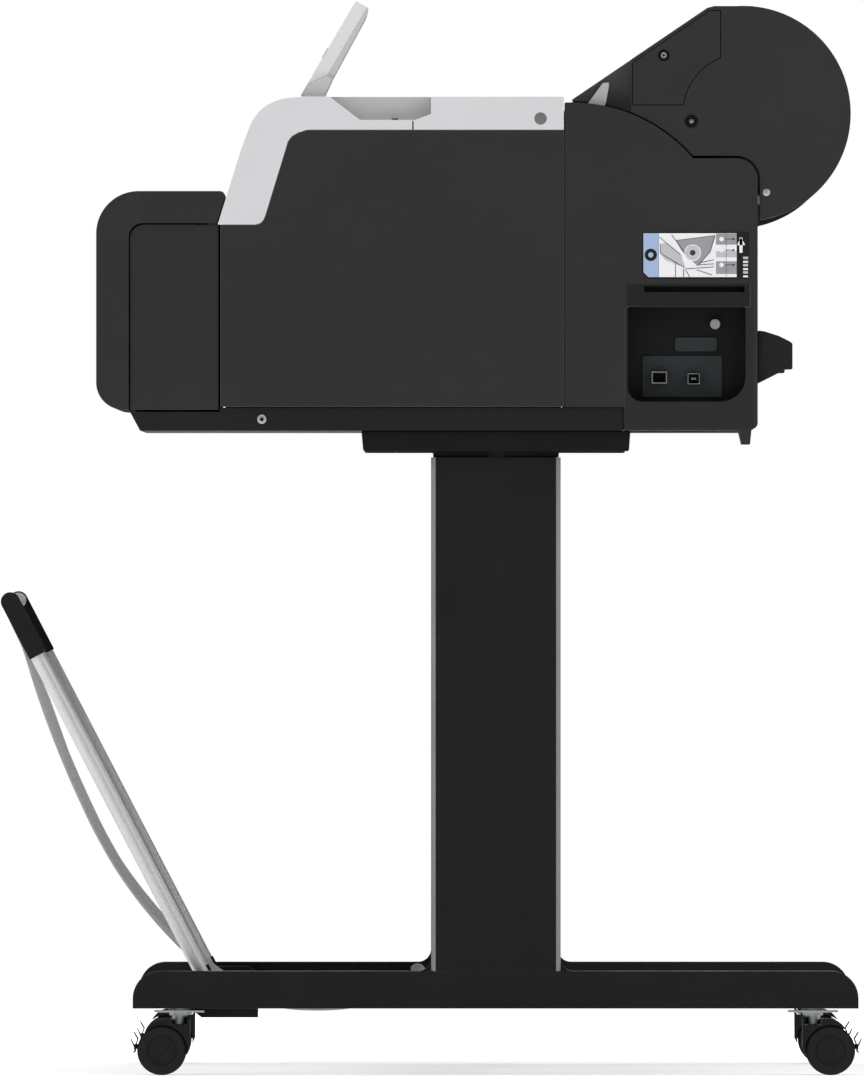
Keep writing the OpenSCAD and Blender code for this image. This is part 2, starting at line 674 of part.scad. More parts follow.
module top_cover() color(light) union() {
  ex(-path_half, path_half) polygon([[-200.3, 879], [-188.8, 916], [-181.5, 935.5],
      [-177.3, 945.5], [-170.5, 954.5], [-163.6, 960.3], [-154, 965], [-145, 967.6],
      [-128, deck_z + 0.8], [120, deck_z + 0.8], [126.5, 967.4], [129, 962],
      [129, 955], [126, 955], [126, 961], [124.5, 964.8], [120, 966], [-128, 966],
      [-144.4, 964.6], [-152.8, 962.2], [-162, 957.6], [-168.4, 952.2], [-174.6, 944],
      [-178.6, 934.5], [-185.9, 915], [-197.2, 879]]);
  // stiffening cheeks and hinge eyes
  both() ex(path_half - 3, path_half) {
    polygon([[-186.2, 916], [-178.8, 935.5], [-174.6, 944.4], [-168.4, 952.6], [-162, 958],
             [-152.8, 962.6], [-144.4, 965], [-128, 966.5], [120, 966.5], [125, 964.5],
             [127, 955], [118, 946.5], [104, 937.5], [97, 944], [90, 952], [-130, 952],
             [-150, 948], [-160, 938], [-190, 879.5], [-198, 879.5]]);
  }
  both() cx(top_hinge_y, top_hinge_z, 4, path_half - 8, path_half + 1.45);
}

// the panel leans with its screen towards the user
module at_panel() translate([xo - 148, tilt_y, tilt_z]) rotate([panel_deg, 0, 0]) children();

module control_panel() color(light) at_panel() difference() {
  // local Y runs up the panel, local Z out of its screen side
  ex(0, panel_w) polygon([[-15.9, 7.4], [90.8, 7.4], [92, 6.2], [92, -5.6], [91.2, -7.2],
                          [83, -9.6], [6.5, -11.8], [-4.8, -11.8]]);
  translate([14, 18, 6.3]) cube([panel_w - 44, panel_l - 38, 4]);
  translate([panel_w - 15, 32, 3]) cylinder(r = 6.4, h = 10);
  for (x = [-1, panel_w - 7]) translate([x, 0, 0]) rotate([0, 90, 0])
    cylinder(r = 2.5 + run, h = 8);
}

module panel_screen() color([0.05, 0.05, 0.06]) at_panel()
  translate([14.2, 18.2, 6.32]) cube([panel_w - 44.4, panel_l - 38.4, 1]);

module power_key() color(dark) at_panel()
  translate([panel_w - 15, 32, 5.2]) cylinder(r = 6, h = 2.8);

module ink_shape(g) difference() {
  rr(ink_front_y + g, 659 + g, -196, ink_hz + 5 - g, [27 - g, 0, 0, ink_r - g]);
  // room for the housing
  rr(-299.8 - g, 640, -190, 843.8 - g, [0, 0, 0, 14 + g]);
  // rear end, parallel to the light front leg, rounded about the hinge line
  difference() {
    polygon([[-213 - g, 843], [ink_hy + 4.8 - g, ink_hz - 1.4], [ink_hy - g, ink_hz + 6],
             [-190, 880], [-190, 843]]);
    translate([ink_hy - g, ink_hz]) circle(r = 5);
  }
}

module ink_cover() color(dark) difference() {
  ex(xi, xo) ink_shape(0);
  ex(xi + 3, xo - 3) difference() {
    rr(ink_front_y + 3, 662, ink_hy - 3.2, ink_hz + 2, [24, 0, 0, ink_r - 3]);
    rr(-302.8, 650, -216, 840.8, [0, 0, 0, 17]);
    translate([-216, 840]) square([40, 40]);
  }
  // pockets and bores for the housing's hinge ears
  for (x = [xi + 3, xo - 8]) ex(x, x + 5) {
    rr(-224, 835, -195, ink_hz + 2, [0, 0, 0, 0]);
    translate([ink_hy, ink_hz]) circle(r = 3.5);
  }
  cx(ink_hy, ink_hz, 2 + run, xi + 1, xi + 4);
  cx(ink_hy, ink_hz, 2 + run, xo - 4, xo - 1);
}
module ink_cover_r() ink_cover();
module ink_cover_l() mirror([1, 0, 0]) ink_cover();

module roll_cover() color(dark) union() {
  ex(-cheek_x0 + 1, cheek_x0 - 1) difference() {
    union() {
      drum_top();
      translate([drum_y, drum_z]) circle(r = drum_r, $fn = 128);
    }
    over_slope();
    translate([120, 900]) square([20.6, 80]);
    translate([drum_y, drum_z]) circle(r = drum_r - wall, $fn = 128);
    polygon([[143.4, 965.8], [274, 1054.2], [280.5, 1055.6], [314, 1055.6], [318, 950],
             [318, 900], [140, 900], [140, 965]]);
    translate([120, 830]) square([210, 70]);
    translate([120, 830]) square([250, 40]);
  }
  both() ex(cheek_x0 - 12, cheek_x0 - 1) difference() {
    union() {
      translate([pin_y, pin_z]) circle(r = 7.6);
      polygon([[pin_y, pin_z - 7.4], [366, 869], [386, 880], [392, 896], [388, 897], [376, 884],
               [pin_y, pin_z + 7.4]]);
    }
    translate([pin_y, pin_z]) circle(r = 4.48 + run);
  }
}

module release_lever() color(light) difference() {
  union() {
    ex(xo - 22, xo - 10) polygon([[155, 962.5], [169.5, 982.5], [175.5, 983.2], [176, 981],
                                  [173, 964], [168, 950], [160, 950]]);
    cx(162, 948, 8, xo - 22, xo - 10);
  }
  cx(162, 948, 3, xo - 23, xo - 9);
}

module roll_holder() color([0.15, 0.15, 0.16]) {
  cx(shaft_y, shaft_z, shaft_r, -cheek_x0 + 3, cheek_x0 - 3);
  both() {
    cx(shaft_y, shaft_z, roll_r + 4, 305.6, 311);
    cx(shaft_y, shaft_z, 25, 290, 306);
    cx(shaft_y, shaft_z, 18, 310, 330);
  }
}

module paper_roll() color([0.95, 0.95, 0.94]) difference() {
  cx(shaft_y, shaft_z, roll_r, -305, 305);
  cx(shaft_y, shaft_z, 25.4, -306, 306);
}

// ink carriage, at rest over the parking station on the right
module carriage() color([0.1, 0.1, 0.11]) union() {
  difference() {
    translate([318, -122, 872]) cube([96, 88, 56]);
    translate([324, -116, 905]) cube([84, 60, 24]);
  }
  translate([330, -112, 866.5]) cube([72, 60, 6]);
  for (i = [0:4]) translate([326 + i * 16.4, -114, 905]) cube([14, 54, 18]);
}

module feed_roller() color(steel) {
  cx(feed_y, feed_z, feed_r, -path_half + 4, path_half - 4);
  cx(feed_y, feed_z, 5, -path_half - 7, path_half + 7);
}

module pinch_roller() color([0.2, 0.2, 0.2]) {
  for (i = [-4:4]) cx(feed_y, feed_z + feed_r + pinch_r + 0.1, pinch_r, i * 66 - 20, i * 66 + 20);
  cx(feed_y, feed_z + feed_r + pinch_r + 0.1, 3, -path_half - 7, path_half + 7);
}

// ---------- draw ----------

base_pan();
side_panel_r();
side_panel_l();
rear_cover_r();
rear_cover_l();
front_housing_r();
front_housing_l();
front_panel();
upper_trim_r();
upper_trim_l();
rear_panel();
roll_cheek_r();
roll_cheek_l();
cheek_panels();
side_frames();
platen();
carriage_rail();
drive_belt();
ink_tanks();
io_board();
data_sockets();
ac_inlet();
label_plate();
screws();
rear_grips();
column_r();
column_l();
foot_r();
foot_l();
top_brackets();
cross_beam();
basket_floor();
caster_stems();
top_cover();
control_panel();
panel_screen();
power_key();
ink_cover_r();
ink_cover_l();
roll_cover();
release_lever();
roll_holder();
paper_roll();
carriage();
feed_roller();
pinch_roller();
basket_arms();
basket_sling();
fork_fr();
fork_fl();
fork_rr();
fork_rl();
wheels_fr();
wheels_fl();
wheels_rr();
wheels_rl();
brake_fr();
brake_fl();
brake_rr();
brake_rl();
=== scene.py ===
"""Looks of the large format plotter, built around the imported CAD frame.

Metres, +Z up, +X the machine's right.
"""

import json
import math

import bmesh
import bpy
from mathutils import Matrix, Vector


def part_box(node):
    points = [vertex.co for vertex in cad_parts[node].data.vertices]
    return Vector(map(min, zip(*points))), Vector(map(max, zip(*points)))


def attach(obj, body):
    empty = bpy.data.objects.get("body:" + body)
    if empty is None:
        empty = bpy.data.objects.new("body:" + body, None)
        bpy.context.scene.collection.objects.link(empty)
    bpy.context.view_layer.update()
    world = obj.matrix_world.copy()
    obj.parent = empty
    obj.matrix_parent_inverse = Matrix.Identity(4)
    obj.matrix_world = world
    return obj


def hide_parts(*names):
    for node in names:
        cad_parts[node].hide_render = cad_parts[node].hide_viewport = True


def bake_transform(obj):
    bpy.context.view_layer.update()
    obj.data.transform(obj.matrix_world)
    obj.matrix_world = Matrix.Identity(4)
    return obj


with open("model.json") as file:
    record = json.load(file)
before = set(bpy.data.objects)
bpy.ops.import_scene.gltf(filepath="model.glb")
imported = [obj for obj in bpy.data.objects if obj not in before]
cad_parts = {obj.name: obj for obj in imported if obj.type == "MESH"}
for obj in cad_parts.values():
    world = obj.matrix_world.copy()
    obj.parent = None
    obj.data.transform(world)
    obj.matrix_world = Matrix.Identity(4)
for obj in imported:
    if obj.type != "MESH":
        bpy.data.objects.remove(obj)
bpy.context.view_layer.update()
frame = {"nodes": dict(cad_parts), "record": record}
BODY = {n: b for b, ns in frame["record"]["behaviour"]["bodies"].items() for n in ns}
scene = bpy.context.scene
scene.view_settings.view_transform = "Standard"
scene.view_settings.look = "None"

# ---------------------------------------------------------------- materials


def lin(v):
    """sRGB 0-255 to linear."""
    v = v / 255
    return v / 12.92 if v <= 0.04045 else ((v + 0.055) / 1.055) ** 2.4


def rgb(r, g=None, b=None):
    g = r if g is None else g
    b = r if b is None else b
    return (lin(r), lin(g), lin(b), 1)


class Mat:
    """A small builder around one node material."""

    def __init__(self, name, rough=0.5, metal=0.0, spec=0.5, **sockets):
        self.m = bpy.data.materials.new(name)
        self.m.use_nodes = True
        self.t = self.m.node_tree
        self.bsdf = self.t.nodes["Principled BSDF"]
        self.set(Roughness=rough, Metallic=metal)
        self.bsdf.inputs["Specular IOR Level"].default_value = spec
        for k, v in sockets.items():
            self.bsdf.inputs[k.replace("_", " ")].default_value = v
        self.co = self.node("ShaderNodeTexCoord").outputs["Object"]

    def node(self, kind, **props):
        n = self.t.nodes.new(kind)
        for k, v in props.items():
            setattr(n, k, v)
        return n

    def set(self, **sockets):
        for k, v in sockets.items():
            self.bsdf.inputs[k.replace("_", " ")].default_value = v

    def link(self, a, b):
        self.t.links.new(a, b)

    def noise(self, scale, detail=3.0, rough=0.55, stretch=None):
        src = self.co
        if stretch:
            mp = self.node("ShaderNodeMapping")
            mp.inputs["Scale"].default_value = stretch
            self.link(self.co, mp.inputs["Vector"])
            src = mp.outputs["Vector"]
        n = self.node("ShaderNodeTexNoise")
        n.inputs["Scale"].default_value = scale
        n.inputs["Detail"].default_value = detail
        n.inputs["Roughness"].default_value = rough
        self.link(src, n.inputs["Vector"])
        return n.outputs["Fac"]

    def ramp(self, fac, stops):
        r = self.node("ShaderNodeValToRGB")
        e = r.color_ramp.elements
        e[0].position, e[0].color = stops[0]
        e[1].position, e[1].color = stops[-1]
        for p, c in stops[1:-1]:
            x = e.new(p)
            x.color = c
        self.link(fac, r.inputs["Fac"])
        return r.outputs["Color"]

    def grade(self, fac, lo, hi, a=0.0, b=1.0):
        r = self.node("ShaderNodeMapRange")
        r.inputs["From Min"].default_value = a
        r.inputs["From Max"].default_value = b
        r.inputs["To Min"].default_value = lo
        r.inputs["To Max"].default_value = hi
        self.link(fac, r.inputs["Value"])
        return r.outputs["Result"]

    def math(self, op, a, b=None, clamp=False):
        n = self.node("ShaderNodeMath", operation=op, use_clamp=clamp)
        for i, v in enumerate([a] if b is None else [a, b]):
            if isinstance(v, (int, float)):
                n.inputs[i].default_value = v
            else:
                self.link(v, n.inputs[i])
        return n.outputs[0]

    def mix(self, fac, a, b):
        n = self.node("ShaderNodeMix", data_type="RGBA")
        for key, v in (("Factor", fac), ("A", a), ("B", b)):
            sock = [s for s in n.inputs if s.name == key and (
                s.type == ("VALUE" if key == "Factor" else "RGBA"))][0]
            if isinstance(v, (tuple, float, int)):
                sock.default_value = v
            else:
                self.link(v, sock)
        return [s for s in n.outputs if s.type == "RGBA"][0]

    def bump(self, height, strength=0.2, dist=0.0002, below=None):
        b = self.node("ShaderNodeBump")
        b.inputs["Strength"].default_value = strength
        b.inputs["Distance"].default_value = dist
        self.link(height, b.inputs["Height"])
        if below is not None:
            self.link(below, b.inputs["Normal"])
        self.link(b.outputs["Normal"], self.bsdf.inputs["Normal"])
        return b.outputs["Normal"]

    def color(self, c):
        self.link(c, self.bsdf.inputs["Base Color"])

    def xyz(self):
        s = self.node("ShaderNodeSeparateXYZ")
        self.link(self.co, s.inputs[0])
        return s.outputs

    def inside(self, **span):
        """1 inside the given spans of the row frame, such as Y=(0.19, 0.31), else 0."""
        xyz, out = self.xyz(), None
        for axis, (lo, hi) in span.items():
            for op, v in (("GREATER_THAN", lo), ("LESS_THAN", hi)):
                f = self.math(op, xyz[axis], v)
                out = f if out is None else self.math("MULTIPLY", out, f)
        return out

    def beyond(self, axis_y, axis_z, d):
        """1 where axis_y * Y + axis_z * Z is more than d."""
        xyz = self.xyz()
        t = self.math("ADD", self.math("MULTIPLY", xyz["Y"], axis_y),
                      self.math("MULTIPLY", xyz["Z"], axis_z))
        return self.math("GREATER_THAN", t, d)


def moulded(name, tone, rough=0.5, spec=0.35, grain=1400, depth=0.25, vary=0.06, areas=()):
    """Moulded plastic: fine spark-eroded texture, slow tone drift and faint handling marks.
    areas are (mask maker, tone) pairs, painted over the base one after the other."""
    m = Mat(name, rough, 0.0, spec)
    base = [lin(t) for t in tone]
    lo = tuple(c * (1 - vary) for c in base) + (1,)
    hi = tuple(c * (1 + vary) for c in base) + (1,)
    c = m.ramp(m.noise(6, 4), [(0.3, lo), (0.7, hi)])
    for mask, t in areas:
        c = m.mix(mask(m), c, rgb(*t) if isinstance(t, tuple) else rgb(t))
    m.color(c)
    g = m.noise(grain, 2, 0.6)
    smear = m.noise(18, 5, 0.6)
    m.link(m.grade(smear, rough - 0.05, rough + 0.06, 0.35, 0.65), m.bsdf.inputs["Roughness"])
    m.bump(g, depth, 0.00015)
    return m.m


def painted(name, tone, rough=0.42, spec=0.5):
    """Powder coat: orange-peel bump and a few rubbed patches."""
    m = Mat(name, rough, 0.0, spec)
    base = [lin(t) for t in tone]
    m.color(m.ramp(m.noise(9, 5), [(0.3, tuple(c * 0.9 for c in base) + (1,)),
                                   (0.7, tuple(c * 1.12 for c in base) + (1,))]))
    m.link(m.grade(m.noise(25, 4), rough - 0.06, rough + 0.08, 0.35, 0.65),
           m.bsdf.inputs["Roughness"])
    m.bump(m.noise(900, 2), 0.3, 0.0002)
    return m.m


def brushed(name, tone, rough=0.32, stretch=(1, 40, 40), scale=30):
    """Drawn or brushed metal with streaks across the grain direction."""
    m = Mat(name, rough, 1.0, 0.5)
    base = [lin(t) for t in tone]
    streak = m.noise(scale, 4, 0.6, stretch)
    m.color(m.ramp(streak, [(0.3, tuple(c * 0.86 for c in base) + (1,)),
                            (0.7, tuple(min(1, c * 1.08) for c in base) + (1,))]))
    m.link(m.grade(streak, rough - 0.08, rough + 0.1, 0.3, 0.7), m.bsdf.inputs["Roughness"])
    m.bump(streak, 0.12, 0.0002)
    return m.m


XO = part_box("upper_trim_r")[1].x          # outer face of the right-hand covers

DARK = moulded("plastic_dark", (40, 40, 40), 0.55, 0.2)



def on_side(**span):
    """Mask on the outer faces of the right-hand covers."""
    return lambda m: m.inside(X=(XO - 0.0009, XO + 1), **span)


# Painted shade and highlights on the right rear cover: the 7 area blackens the socket recess's
# walls as painted shade, 34 is a slightly darker panel round the recess, 22 darkens the header
# strip as painted shade of its shallow recess, and the thin 66, 62 and 54 lines along the edges of
# the header and panel are painted highlights.
REAR = moulded("plastic_dark_rear", (40, 40, 40), 0.55, 0.2, areas=[
    (lambda m: m.inside(X=(XO - 0.04, XO - 0.001), Y=(0.192, 0.3125), Z=(0.665, 0.763)), 7),
    (on_side(Y=(0.1912, 0.3190), Z=(0.6410, 0.7847)), 34),
    (on_side(Y=(0.1935, 0.3157), Z=(0.7602, 0.7835)), 22),
    (on_side(Y=(0.1935, 0.3160), Z=(0.7603, 0.7613)), 66),
    (on_side(Y=(0.3151, 0.3160), Z=(0.7603, 0.7835)), 62),
    (on_side(Y=(0.1906, 0.1914), Z=(0.6430, 0.7600)), 54),
])
# Painted highlight: the thin lighter line at Y -0.291 stands in for the light caught by the cover's
# edge along its seam.
INK = moulded("plastic_dark_ink", (40, 40, 40), 0.55, 0.2, areas=[
    (lambda m: m.inside(Y=(-0.2911, -0.2903), Z=(0.845, 1)), 50)])
# Painted light: the front part of each cheek (Y 0.1 to 0.1977) is lightened to 70 to cancel the
# shade of its recess.
CHEEK = moulded("plastic_dark_cheek", (41, 41, 41), 0.5, 0.22, 1800, areas=[
    (lambda m: m.inside(Y=(0.1, 0.1977), Z=(0.8, 1.2)), 70)])
DARK2 = moulded("plastic_dark_cover", (40, 40, 40), 0.5, 0.22, 1800)
BASE = moulded("plastic_base", (29, 29, 29), 0.58, 0.12, 1000)
LIGHT = moulded("plastic_light", (206, 206, 209), 0.5, 0.35, 1500, 0.2, 0.015)
# Painted shade: the two 186 areas darken the inner walls of the notch and the scoop in the light
# trim; the 14 and 70 marks draw a seam line and a slot.
TRIM = moulded("plastic_light_trim", (206, 206, 209), 0.5, 0.35, 1500, 0.2, 0.015, areas=[
    (lambda m: m.inside(X=(XO - 0.16, XO - 0.01), Y=(-0.130, -0.095), Z=(0.9695, 0.995)), 186),
    (lambda m: m.inside(X=(XO - 0.03, XO - 0.0005), Y=(-0.104, 0.002), Z=(0.944, 0.9688)), 186),
    (lambda m: m.inside(X=(XO - 0.001, XO + 1), Y=(-0.0191, -0.0177), Z=(0.93, 0.9448)), 14),
    (lambda m: m.inside(X=(XO - 0.03, XO - 0.0005), Y=(-0.0395, -0.0330), Z=(0.9455, 0.9478)), 70)])
PANEL = moulded("plastic_light_panel", (212, 212, 214), 0.5, 0.35, 1500, 0.2, 0.015, areas=[
    (lambda m: m.beyond(0.8643, -0.5030, 0.8643 * -0.1148 - 0.5030 * 0.981 + 0.005), 184),
    (lambda m: m.beyond(-0.46, -0.888, -0.46 * -0.1217 - 0.888 * 0.9813 - 0.003), 200)])
LIGHT2 = moulded("plastic_light_rear", (172, 172, 174), 0.5, 0.35, 1500, 0.2, 0.015)
IO = moulded("plastic_io", (45, 50, 52), 0.5, 0.2, 1500)
BLACK = moulded("plastic_black", (16, 16, 17), 0.62, 0.12, 1200)
CAP = moulded("plastic_cap", (27, 27, 28), 0.6, 0.1, 1200)
# Painted shade: the brackets are coloured darker than the stand paint because they sit in shade
# under the machine.
SHADE = moulded("bracket_painted_shade", (20, 20, 21), 0.6, 0.1, 1000)
# Painted highlights: GLINT and GLINT2 colour the rounded edges lighter than their covers, standing
# in for the light those edges catch.
GLINT = moulded("plastic_dark_edge_painted_highlight", (72, 72, 73), 0.45, 0.3, 1800)
GLINT2 = moulded("plastic_light_edge_painted_highlight", (240, 240, 241), 0.45, 0.3, 1800)
STAND = painted("stand_paint", (26, 26, 27), 0.45, 0.12)
# Painted highlight: EDGE is the lighter grey of the columns' rounded corner strips.
EDGE = painted("stand_edge_painted_highlight", (128, 129, 130), 0.4, 0.3)
STEEL = brushed("steel_brushed", (150, 152, 153))
ALLOY = brushed("alloy_tube", (206, 206, 206), 0.5, (30, 30, 1.5), 60)
KNOB = brushed("knob_nickel", (168, 168, 170), 0.45, (1, 30, 30), 60)
PALE = moulded("plastic_pale", (196, 196, 198), 0.5, 0.3)
PINS = brushed("steel_bright", (190, 190, 191), 0.4, (1, 30, 30), 90)
CAPTONE = moulded("plastic_cap_grey", (108, 108, 109), 0.5, 0.3)
NUT = brushed("nut_zinc", (172, 178, 176), 0.42, (1, 30, 1), 200)


def rubber(name, tone, rough=0.7):
    m = Mat(name, rough, 0.0, 0.15)
    base = [lin(t) for t in tone]
    dust = m.noise(60, 5, 0.6)
    m.color(m.ramp(dust, [(0.35, tuple(c * 0.85 for c in base) + (1,)),
                          (0.75, tuple(c * 1.35 + 0.002 for c in base) + (1,))]))
    m.link(m.grade(dust, rough - 0.1, rough + 0.15, 0.3, 0.7), m.bsdf.inputs["Roughness"])
    m.bump(m.noise(700, 3), 0.4, 0.0002)
    return m.m


TYRE = rubber("wheel_rubber", (28, 28, 29))
BELT = rubber("belt_rubber", (24, 24, 24))


def paper_mat():
    m = Mat("paper_roll", 0.8, 0.0, 0.25)
    s = m.xyz()
    r = m.math("ADD", m.math("POWER", m.math("SUBTRACT", s["Y"], 0.282), 2.0),
               m.math("POWER", m.math("SUBTRACT", s["Z"], 0.968), 2.0))
    r = m.math("SQRT", r)
    w = m.node("ShaderNodeTexNoise", noise_dimensions="1D")
    w.inputs["Scale"].default_value = 1.0
    m.link(m.math("MULTIPLY", r, 3500.0), w.inputs["W"])
    m.color(m.ramp(w.outputs["Fac"], [(0.2, rgb(226, 225, 220)), (0.8, rgb(244, 243, 240))]))
    m.bump(m.noise(500, 3), 0.15, 0.0002)
    return m.m


def screen_mat():
    m = Mat("screen_glass", 0.12, 0.0, 0.6, Coat_Weight=0.6, Coat_Roughness=0.05)
    m.color(m.ramp(m.noise(30, 3), [(0.3, rgb(10, 10, 12)), (0.7, rgb(16, 17, 20))]))
    m.link(m.grade(m.noise(45, 5, 0.7), 0.08, 0.2, 0.35, 0.65), m.bsdf.inputs["Roughness"])
    return m.m


def tank_mat():
    m = Mat("ink_tank", 0.25, 0.0, 0.5)
    m.color(m.ramp(m.noise(20, 3), [(0.3, rgb(24, 24, 27)), (0.7, rgb(34, 34, 38))]))
    m.bump(m.noise(900, 2), 0.1, 0.0001)
    return m.m


def cloth_mat():
    """Plain woven polyester: warp and weft threads along the sheet's own map, slow soiling."""
    m = Mat("basket_cloth", 0.85, 0.0, 0.15, Sheen_Weight=0.2, Sheen_Roughness=0.5)
    uv = m.node("ShaderNodeTexCoord").outputs["UV"]
    threads = []
    for d in ("X", "Y"):
        w = m.node("ShaderNodeTexWave", wave_type="BANDS", bands_direction=d)
        w.inputs["Scale"].default_value = 210
        w.inputs["Distortion"].default_value = 0.35
        w.inputs["Detail"].default_value = 1
        m.link(uv, w.inputs["Vector"])
        threads.append(w.outputs["Fac"])
    weave = m.math("MULTIPLY", *threads)
    slub = m.noise(130, 4, 0.7, (1, 6, 6))
    tone = m.math("ADD", m.math("MULTIPLY", m.noise(7, 5, 0.6), 0.5),
                  m.math("ADD", m.math("MULTIPLY", weave, 0.3), m.math("MULTIPLY", slub, 0.2)))
    m.color(m.ramp(tone, [(0.25, rgb(158, 158, 159)), (0.75, rgb(180, 180, 181))]))
    m.bump(weave, 0.4, 0.0003)
    return m.m


PAPER, SCREEN, TANK, CLOTH = paper_mat(), screen_mat(), tank_mat(), cloth_mat()

# ---------------------------------------------------------------- helpers


def finish_mesh(name, bm, mat, body=None, smooth=40):
    me = bpy.data.meshes.new(name)
    bm.to_mesh(me)
    bm.free()
    o = bpy.data.objects.new(name, me)
    scene.collection.objects.link(o)
    for m in (mat if isinstance(mat, (list, tuple)) else [mat]):
        me.materials.append(m)
    shade(me, smooth)
    if body:
        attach(o, body)
    return o


def shade(me, angle=40):
    me.shade_smooth()
    me.set_sharp_from_angle(angle=math.radians(angle))


def bake(o):
    """Applies the object's modifiers to its mesh."""
    dg = bpy.context.evaluated_depsgraph_get()
    dg.update()
    me = bpy.data.meshes.new_from_object(o.evaluated_get(dg), preserve_all_data_layers=True,
                                         depsgraph=dg)
    o.modifiers.clear()
    old = o.data
    o.data = me
    bpy.data.meshes.remove(old)
    return o


def soften(node, mat, width=0.0006, seg=2, angle=32, pick=None, edge=None):
    """A copy of a CAD node with small rounded edges, which then stands for the node.
    pick(face centre, normal) gives the index of a face's material, edge the material of
    the rounded edges."""
    src = frame["nodes"][node]
    bm = bmesh.new()
    bm.from_mesh(src.data)
    bmesh.ops.remove_doubles(bm, verts=bm.verts, dist=2e-6)
    bmesh.ops.dissolve_limit(bm, angle_limit=math.radians(0.4), verts=bm.verts,
                             edges=bm.edges, delimit=set())
    if pick:
        bm.normal_update()
        for f in bm.faces:
            f.material_index = pick(f.calc_center_median(), f.normal)
    mats = (list(mat) if isinstance(mat, list) else [mat]) + ([edge] if edge else [])
    o = finish_mesh(node + "_shell", bm, mats)
    b = o.modifiers.new("bevel", "BEVEL")
    b.material = len(mats) - 1 if edge else -1
    b.width, b.segments, b.limit_method = width, seg, "ANGLE"
    b.angle_limit = math.radians(angle)
    b.use_clamp_overlap = True
    b.miter_outer = "MITER_ARC"
    w = o.modifiers.new("normals", "WEIGHTED_NORMAL")
    w.keep_sharp = False
    bake(o)
    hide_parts(node)
    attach(o, BODY[node])
    return o


def paint(node, mat):
    o = frame["nodes"][node]
    o.data.materials.clear()
    o.data.materials.append(mat)


# ---------------------------------------------------------------- camera, light, floor

LENS = 1375                                # mm, nearly flat, as the side view is
SENSOR = 36                                # mm
HALF_VIEW = 0.5336                         # half the height that the camera sees

cam = bpy.data.objects.new("camera", bpy.data.cameras.new("camera"))
scene.collection.objects.link(cam)
scene.camera = cam
cam.data.lens = LENS
cam.data.sensor_width = SENSOR
DIST = HALF_VIEW * LENS / (SENSOR / 2)
cam.location = (XO + DIST, 0.0005, 0.5311)
cam.rotation_euler = (math.pi / 2, 0, math.pi / 2)
cam.data.clip_start, cam.data.clip_end = 1, 200


def floor():
    """A round pale floor that fades into the white surroundings."""
    bm = bmesh.new()
    n, r = 96, 5.0
    ring = [bm.verts.new((r * math.cos(2 * math.pi * i / n), r * math.sin(2 * math.pi * i / n), 0))
            for i in range(n)]
    bm.faces.new(ring)
    m = Mat("floor_pale", 0.95, 0.0, 0.05)
    s = m.xyz()
    far = m.math("SQRT", m.math("ADD", m.math("POWER", s["X"], 2.0), m.math("POWER", s["Y"], 2.0)))
    m.color(m.ramp(m.noise(0.7, 3), [(0.3, rgb(243, 243, 243)), (0.7, rgb(247, 247, 247))]))
    m.bsdf.inputs["Emission Color"].default_value = (1, 1, 1, 1)
    m.link(m.grade(far, 0.45, 1.05, 1.0, 3.2), m.bsdf.inputs["Emission Strength"])
    finish_mesh("floor", bm, m.m)


floor()


def area(name, at, aim, size, power, size_y=None):
    d = bpy.data.lights.new(name, "AREA")
    d.energy, d.size = power, size
    if size_y:
        d.shape, d.size_y = "RECTANGLE", size_y
    o = bpy.data.objects.new(name, d)
    scene.collection.objects.link(o)
    o.location = at
    o.rotation_euler = (Vector(aim) - Vector(at)).to_track_quat("-Z", "Y").to_euler()


area("key", (3.2, -2.6, 2.6), (0, 0, 0.6), 2.4, 42)
area("fill", (3.2, 2.6, 2.2), (0, 0, 0.6), 2.4, 33)
area("top", (0, 0, 4.2), (0, 0, 0), 3.4, 50)
area("hair", (1.6, 0, 3.6), (0.3, 0, 0.8), 2.6, 19, 0.5)
area("rim_front", (-0.6, -4.2, 1.4), (0, 0, 0.6), 2.2, 35, 2.2)
area("rim_rear", (-0.6, 4.2, 1.4), (0, 0, 0.6), 2.2, 35, 2.2)
area("left", (-3.6, 0, 2.2), (0, 0, 0.6), 2.4, 39)

world = bpy.data.worlds.new("studio")
scene.world = world
world.use_nodes = True
wt = world.node_tree
bg = wt.nodes["Background"]
lp = wt.nodes.new("ShaderNodeLightPath")
mr = wt.nodes.new("ShaderNodeMapRange")
mr.inputs["To Min"].default_value = 0.19
mr.inputs["To Max"].default_value = 1.0
wt.links.new(lp.outputs["Is Camera Ray"], mr.inputs["Value"])
wt.links.new(mr.outputs["Result"], bg.inputs["Strength"])
bg.inputs["Color"].default_value = (1, 1, 1, 1)

# ---------------------------------------------------------------- CAD nodes

ARM = Vector((0, -0.2188, 0.085))          # basket arm pivot line
LEAN = math.radians(27.4)
UP = Vector((0, -math.sin(LEAN), math.cos(LEAN)))
COL_Y = (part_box("column_r")[0].y + 0.013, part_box("column_r")[1].y - 0.013)
POST_HALF = 0.020                          # half the width of a column
STRIP = 0.0046                             # width of a column's corner strip
COL_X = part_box("column_r")[1].x - POST_HALF
ARM_TUBE = (0.0235, 0.3715)                # where an arm's bare tube starts and ends


def column_face(c, n):
    """The four vertical corner strips of a column get the lighter grey, a painted highlight on the
    rounded corners.
    """
    dy = min(abs(c.y - COL_Y[0]), abs(c.y - COL_Y[1]))
    dx = POST_HALF - abs(abs(c.x) - COL_X)
    return int(dy < STRIP and dx < STRIP and c.z > 0.12 and abs(n.x) < 0.999
               and abs(n.y) < 0.999 and abs(n.z) < 0.2)


def arm_face(c, n):
    """0 tube, 1 black end caps and pivot blocks, 2 front rod."""
    t = (c - ARM).dot(UP)
    if abs(c.x) < 0.39:
        return 2
    return 1 if t > ARM_TUBE[1] or t < ARM_TUBE[0] else 0


